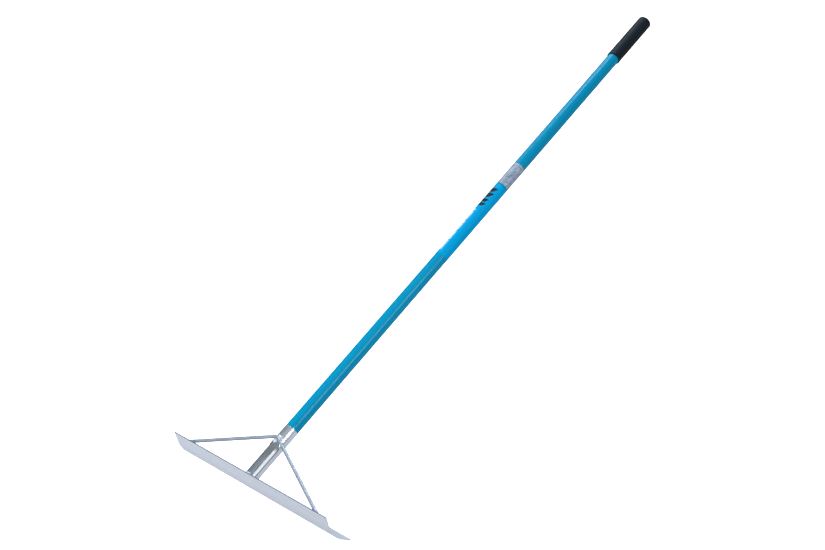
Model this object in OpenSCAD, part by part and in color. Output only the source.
// Long-handled concrete placer (levelling rake): a curved steel blade, a
// scooped socket welded to its back, a bent-rod brace, a coated tube handle
// with a printed sleeve and a foil band, and a soft closed grip.
//
// Frame: +Y runs up the handle along its centre line, +X along the blade,
// +Z towards the top edge of the blade. The origin is where the handle's
// centre line meets the front face of the blade; its back faces the handle.

/* [Blade] */
// Width of the blade from end to end
blade_w = 500; // [420:1:600]
// Sheet thickness
sheet_t = 2.5; // [2:0.1:3.5]
// Lean of the flat part away from square to the handle, in degrees
lean = 13.8; // [12:0.1:16]
// Height of the top edge above the handle's centre line
top_rise = 21.1; // [19:0.1:24]
// Length of the flat part, down the sheet
flat_h = 26; // [25:0.5:30]
// Outside radius of the rolled part
bend_r = 81; // [74:1:88]
// Angle that the rolled part turns through
bend_angle = 45; // [40:0.5:50]
// Length of the straight lip below the rolled part
lip_h = 28; // [22:0.5:34]

/* [Socket] */
// Outside diameter of the socket
socket_od = 33; // [32.8:0.1:34]
// Wall of the socket
socket_wall = 1.5; // [1.4:0.1:1.6]
// Distance from the blade's face to the socket's mouth
socket_top = 145.4; // [140:0.1:150]
// Centre of the scoop's round end
scoop_y = 84.4; // [80:0.1:87]
// Half width of the scoop
scoop_r = 16.4; // [16.3:0.1:17]
// Height above the centre line at which the scoop starts
scoop_z = 6; // [2:0.5:7]

/* [Brace] */
// Diameter of the brace rod
rod_d = 8; // [7:0.5:8]
// Distance of each brace foot from the middle of the blade
foot_x = 213; // [190:1:225]
// Height of each brace foot above the handle's centre line
foot_z = 3.7; // [1:0.1:8]
// Where the two legs would meet along the handle
apex_y = 109.4; // [107:0.1:112]
// Radius of the bend at the apex, at the rod's centre
apex_bend = 12; // [10:1:16]

/* [Handle] */
// Outside diameter of the handle tube
pole_d = 32; // [32:0.1:32.4]
// Wall of the handle tube
pole_wall = 1.5; // [1.4:0.1:1.6]
// Length of the handle tube, with its reduced end
pole_len = 1492; // [1300:1:1700]
// Clearance between the reduced end and the socket's bore
seat_gap = 0.1; // [0.1:0.05:0.2]

/* [Grip and sleeves] */
// Length of the grip
grip_len = 159; // [140:1:180]
// Outside diameter of the grip
grip_d = 36.6; // [35.5:0.1:38]
// Where the printed sleeve starts
label_y = 693.4; // [600:0.1:750]
// Length of the printed sleeve
label_len = 252; // [200:1:280]
// Length of the foil band above the sleeve
foil_len = 73; // [60:1:90]

/* [Hidden] */
$fn = 96;

WELD_GREY = [0.60, 0.63, 0.68];

// Radii.
socket_r = socket_od / 2;
bore_r = socket_r - socket_wall;
rod_r = rod_d / 2;
pole_r = pole_d / 2;
pole_bore_r = pole_r - pole_wall;
seat_r = bore_r - seat_gap;          // reduced end of the handle tube
seat_bore_r = seat_r - pole_wall;
rivet_r = 2.4;

// Stations along the handle.
pole_start = socket_top - 36;
pole_end = pole_start + pole_len;
rivet_y = socket_top - 22;
plug_flange = 2.5;
grip_cap = 6.3;                      // thickness of the grip's closed end
grip_end = pole_end + plug_flange + 0.2 + grip_cap;
grip_start = grip_end - grip_len;

// Blade profile as [y, z] points down its front face. At angle a, outward(a)
// points through the sheet from front to back and down_sheet(a) along it.
function outward(a) = [cos(a), sin(a)];
function down_sheet(a) = [sin(a), -cos(a)];
flat_angle = -lean;
lip_angle = bend_angle - lean;
top_edge = [top_rise * tan(lean), top_rise];
bend_start = top_edge + flat_h * down_sheet(flat_angle);
bend_centre = bend_start + bend_r * outward(flat_angle);
bend_end = bend_centre - bend_r * outward(lip_angle);
bend_inner_r = bend_r - sheet_t;

// Brace legs, measured along the rod's centre.
foot_y = foot_z * tan(lean) + (sheet_t + rod_r) / cos(lean);
foot_pt = [foot_x, foot_y, foot_z];
apex_pt = [0, apex_y, socket_r + rod_r + 0.35];
leg_run = foot_pt - apex_pt;
leg_len = norm(leg_run);
plane_tilt = atan2(-leg_run[2], -leg_run[1]);
half_open = atan2(foot_x, norm([0, leg_run[1], leg_run[2]]));
bend_turn = 180 - 2 * half_open;
bend_setback = apex_bend / tan(half_open);

cut_gap = 0.01;                      // clearance of the welds round the rod
foot_overrun = 22;                   // leg length past the foot, for trimming

module along_y(start) {
    translate([0, start, 0]) rotate([-90, 0, 0]) children();
}

// Lays a Y-Z drawing across the blade, centred on the middle plane.
module across(width) {
    rotate([90, 0, 90]) linear_extrude(height = width, center = true) children();
}

module both_sides() {
    children();
    mirror([1, 0, 0]) children();
}

module bend_circle(radius) {
    translate(bend_centre) circle(r = radius, $fn = 240);
}

// Puts +X down the sheet and +Y from its front to its back.
module on_sheet(start, angle) {
    translate(start) rotate(angle - 90) children();
}

module sheet_2d() {
    overlap = 0.01;
    // flat part
    on_sheet(top_edge, flat_angle) square([flat_h + overlap, sheet_t]);
    // rolled part: a ring cut to its sector
    intersection() {
        difference() {
            bend_circle(bend_r);
            bend_circle(bend_inner_r);
        }
        polygon([bend_centre,
                 for (a = [flat_angle, (flat_angle + lip_angle) / 2, lip_angle])
                     bend_centre - 2 * bend_r * outward(a)]);
    }
    // lip
    on_sheet(bend_end, lip_angle) translate([-overlap, 0])
        square([lip_h + overlap, sheet_t]);
}

// Everything in front of the blade's back surface, for trimming.
module front_trim(width) {
    across(width) difference() {
        translate([-60, -60]) square([120, 140]);
        bend_circle(bend_inner_r);
        // a hair behind the flat part, so that it crosses the rolled part cleanly
        on_sheet(bend_start, flat_angle) translate([-120, sheet_t + 0.03])
            square([120, 200]);
    }
}

module blade() {
    color([0.78, 0.80, 0.86]) across(blade_w) sheet_2d();
}

// Hole through the underside of the socket and the handle tube.
module rivet_hole() {
    translate([0, rivet_y, -25]) cylinder(r = rivet_r + 0.05, h = 20);
}

module socket_tube() {
    start = -8;                      // in front of the blade, trimmed off later
    length = socket_top - start;
    outer_chamfer = 0.5;
    inner_chamfer = 0.3;
    along_y(start) rotate_extrude() polygon([
        [bore_r, 0],
        [socket_r, 0],
        [socket_r, length - outer_chamfer],
        [socket_r - outer_chamfer, length],
        [bore_r + inner_chamfer, length],
        [bore_r, length - inner_chamfer]]);
}

// Opens the top of the socket from the blade up to a round end.
module scoop_cut() {
    start = -40;
    translate([0, 0, scoop_z]) linear_extrude(height = 30) union() {
        translate([0, scoop_y]) circle(r = scoop_r);
        translate([-scoop_r, start]) square([2 * scoop_r, scoop_y - start]);
    }
}

module socket() {
    color([0.66, 0.70, 0.76]) difference() {
        socket_tube();
        scoop_cut();
        front_trim(60);
        rivet_hole();
    }
}

// The brace's own plane: apex at the origin, legs running towards -Y.
module in_brace_plane() {
    translate(apex_pt) rotate([plane_tilt, 0, 0]) children();
}

// The +X leg, from the end of the bend to the foot and past it by overrun.
module leg(overrun, grow) {
    overlap = 0.3;
    rotate([0, 0, half_open - 90]) rotate([0, 90, 0])
        translate([0, 0, bend_setback - overlap])
            cylinder(r = rod_r + grow, h = leg_len - bend_setback + overlap + overrun);
}

// The bend between the legs, swelled a hair so that each leg ends inside it.
module rod_bend(grow) {
    translate([0, -apex_bend / sin(half_open), 0])
        rotate([0, 0, 90 - bend_turn / 2])
            rotate_extrude(angle = bend_turn)
                translate([apex_bend, 0]) circle(r = rod_r + 0.05 + grow, $fn = 64);
}

module brace_rod() {
    color([0.72, 0.75, 0.80]) difference() {
        in_brace_plane() union() {
            both_sides() leg(foot_overrun, 0);
            rod_bend(0);
        }
        front_trim(blade_w);
    }
}

// Fillet round the outside of the socket, below the scoop.
module socket_fillet() {
    fillet_w = 3;
    fillet_h = 2.8;
    sunk = 8;                        // depth below the blade's back
    difference() {
        translate([0, sheet_t / cos(lean), 0]) rotate([-90 - lean, 0, 0])
            translate([0, 0, -sunk]) cylinder(r = socket_r + fillet_w, h = sunk + fillet_h);
        translate([-40, -40, scoop_z]) cube([80, 80, 40]);
        along_y(-20) cylinder(r = socket_r, h = 60);
        front_trim(80);
    }
}

// Lump of weld inside the socket, at its -X wall.
module socket_lump() {
    difference() {
        translate([-9.8, 9.6, 1]) sphere(r = 7.2);
        front_trim(80);
        // everything outside the bore
        along_y(-20) difference() {
            cylinder(r = 40, h = 60);
            translate([0, 0, -1]) cylinder(r = bore_r, h = 62);
        }
    }
}

module socket_weld() {
    color(WELD_GREY) union() {
        socket_fillet();
        socket_lump();
    }
}

// Three overlapping blobs between the +X foot and the blade's back.
module foot_weld() {
    toward_back = [0, cos(lean), -sin(lean)];
    middle = foot_pt - toward_back * (rod_r - 0.4);
    difference() {
        union()
            for (i = [0:2])
                translate(middle + [-4 + 5.6 * i, 0, 0])
                    sphere(r = 6.1 - 0.3 * (i % 2), $fn = 32);
        // everything in front of the flat part's back
        translate([foot_x - 40, top_edge[0], top_edge[1]])
            rotate([-lean, 0, 0])
                translate([0, sheet_t - 40, -60]) cube([80, 40, 80]);
        in_brace_plane() leg(foot_overrun, cut_gap);
    }
}

module brace_foot_welds() {
    color(WELD_GREY) union() both_sides() foot_weld();
}

// A short weld bead with fuller ends.
module bead(start, end, radius) {
    run = end - start;
    length = norm(run);
    translate(start) sphere(r = radius, $fn = 32);
    translate(end) sphere(r = radius * 0.97, $fn = 32);
    translate(start) rotate([0, acos(run[2] / length), atan2(run[1], run[0])])
        cylinder(r = radius * 0.88, h = length, $fn = 32);
}

// Each row: start, end, radius.
apex_beads = [
    // in the inside corner of the V
    [[-3.6, apex_y - 6.4, 16.6], [3.9, apex_y - 6.4, 16.6], 3.5],
    // along the outside of the bend
    [[-8.4, apex_y + 0.2, 14.9], [-0.2, apex_y + 3.6, 16.1], 2.7],
    [[2.7, apex_y + 3.3, 16.0], [10.6, apex_y - 0.6, 14.2], 2.8],
];

module apex_welds() {
    color(WELD_GREY) difference() {
        union()
            for (row = apex_beads) bead(row[0], row[1], row[2]);
        along_y(60) cylinder(r = socket_r, h = 80);
        in_brace_plane() rod_bend(cut_gap);
        in_brace_plane() both_sides() leg(0, cut_gap);
    }
}

// Tube with a reduced end that seats in the socket.
module handle_tube() {
    color([0.0, 0.60, 0.79]) difference() {
        along_y(0) rotate_extrude() polygon([
            [seat_bore_r, pole_start],
            [seat_r - 0.4, pole_start],
            [seat_r, pole_start + 0.6],
            [seat_r, socket_top + 0.05],
            [pole_r, socket_top + 1.1],
            [pole_r, pole_end],
            [pole_bore_r, pole_end],
            [pole_bore_r, socket_top + 3],
            [seat_bore_r, socket_top]]);
        rivet_hole();
    }
}

// Drawn as [radius, distance from the centre line], then turned to point down.
module socket_rivet() {
    head_base = socket_r + 0.05;
    head_h = 1.9;
    dome_r = 5.4;
    tail_r = 3.4;
    color([0.74, 0.76, 0.80]) translate([0, rivet_y, 0]) rotate([180, 0, 0])
        rotate_extrude() union() {
            // shank through both walls
            translate([0, seat_bore_r - 1.4]) square([rivet_r, socket_r - seat_bore_r + 1.6]);
            // domed head outside
            intersection() {
                translate([0, head_base + head_h - dome_r]) circle(r = dome_r);
                translate([0, head_base]) square([8, 4]);
            }
            // set tail inside the tube
            translate([0, seat_bore_r - 2.6]) square([tail_r, 2.05]);
        }
}

// A thin sleeve round the handle; rise is its outside above the tube.
module wrap(start, length, rise) {
    along_y(start) difference() {
        cylinder(r = pole_r + rise, h = length);
        translate([0, 0, -1]) cylinder(r = pole_r + 0.02, h = length + 2);
    }
}

module label_sleeve() {
    color([0.0, 0.63, 0.88]) wrap(label_y, label_len, rise = 0.22);
}

module foil_band() {
    color([0.70, 0.74, 0.79]) wrap(label_y + label_len + 0.2, foil_len, rise = 0.20);
}

// Stopper inside the tube, with a flange over its end.
module end_plug() {
    depth = 16;
    taper_h = 3;
    stopper_r = pole_bore_r - 0.05;
    flange_r = pole_r - 0.3;
    color([0.10, 0.10, 0.11]) along_y(pole_end + 0.02) rotate_extrude() polygon([
        [0, -depth],
        [stopper_r - 0.85, -depth],
        [stopper_r, taper_h - depth],
        [stopper_r, 0],
        [flange_r, 0],
        [flange_r, plug_flange - 0.8],
        [flange_r - 1, plug_flange],
        [0, plug_flange]]);
}

module grip() {
    grip_r = grip_d / 2;
    rim_r = 1;                       // rounding at the open end
    rim_rise = 0.5;                  // height of the rim above the grip
    cap_r = 6;                       // rounding of the closed end
    color([0.17, 0.19, 0.22]) along_y(0) rotate_extrude() difference() {
        union() {
            // body
            translate([0, grip_start + rim_r]) square([grip_r, grip_len - rim_r - cap_r]);
            // open end, with its rim
            translate([0, grip_start]) square([grip_r - rim_r, 2]);
            translate([grip_r - rim_r, grip_start + rim_r]) circle(r = rim_r, $fn = 32);
            translate([grip_r - rim_r + rim_rise, grip_start + 2.2])
                circle(r = rim_r, $fn = 32);
            // closed end
            translate([0, grip_end - cap_r - 0.01]) square([grip_r - cap_r, cap_r + 0.01]);
            translate([grip_r - cap_r, grip_end - cap_r]) circle(r = cap_r, $fn = 64);
        }
        // bore for the handle tube
        translate([-1, grip_start - 1]) square([pole_r + 0.03 + 1, grip_len + 1 - grip_cap]);
    }
}

blade();
socket();
brace_rod();
socket_weld();
brace_foot_welds();
apex_welds();
handle_tube();
socket_rivet();
label_sleeve();
foil_band();
end_plug();
grip();
